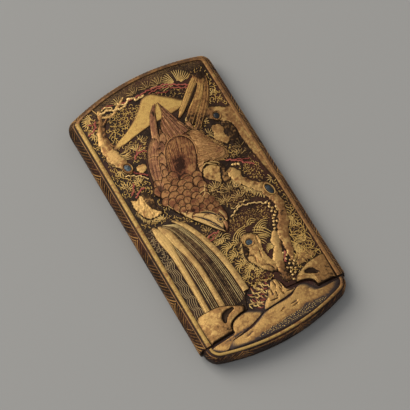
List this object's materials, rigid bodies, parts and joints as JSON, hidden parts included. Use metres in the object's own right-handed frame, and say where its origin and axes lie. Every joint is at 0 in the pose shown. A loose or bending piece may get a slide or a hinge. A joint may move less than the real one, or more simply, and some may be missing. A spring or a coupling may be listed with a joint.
{
  "type": "tortoiseshell case",
  "caption": "Flat two-part pocket case of gold-lacquered tortoiseshell with a low relief front; its cover slips off a thin neck.",
  "frame": {"origin": "middle of the outer box in plan, on the surface that the back lies on", "axes": "+X across the front to its right, +Y along the case to the cover's closed end, +Z out of the carved front"},
  "size_m": [0.075, 0.1434, 0.0137],
  "materials": {
    "gold_lacquer": "gold and brown lacquer, low relief, satin with worn high spots",
    "tortoiseshell": "polished dark tortoiseshell under gold lacquer",
    "blue_shell": "polished blue-grey mother-of-pearl"
  },
  "bodies": {
    "root": {"cover": "gold_lacquer", "base": "tortoiseshell", "shell_inlay_left": "blue_shell", "shell_inlay_top": "blue_shell", "shell_inlay_right": "blue_shell", "shell_inlay_low": "blue_shell"}
  },
  "joints": []
}
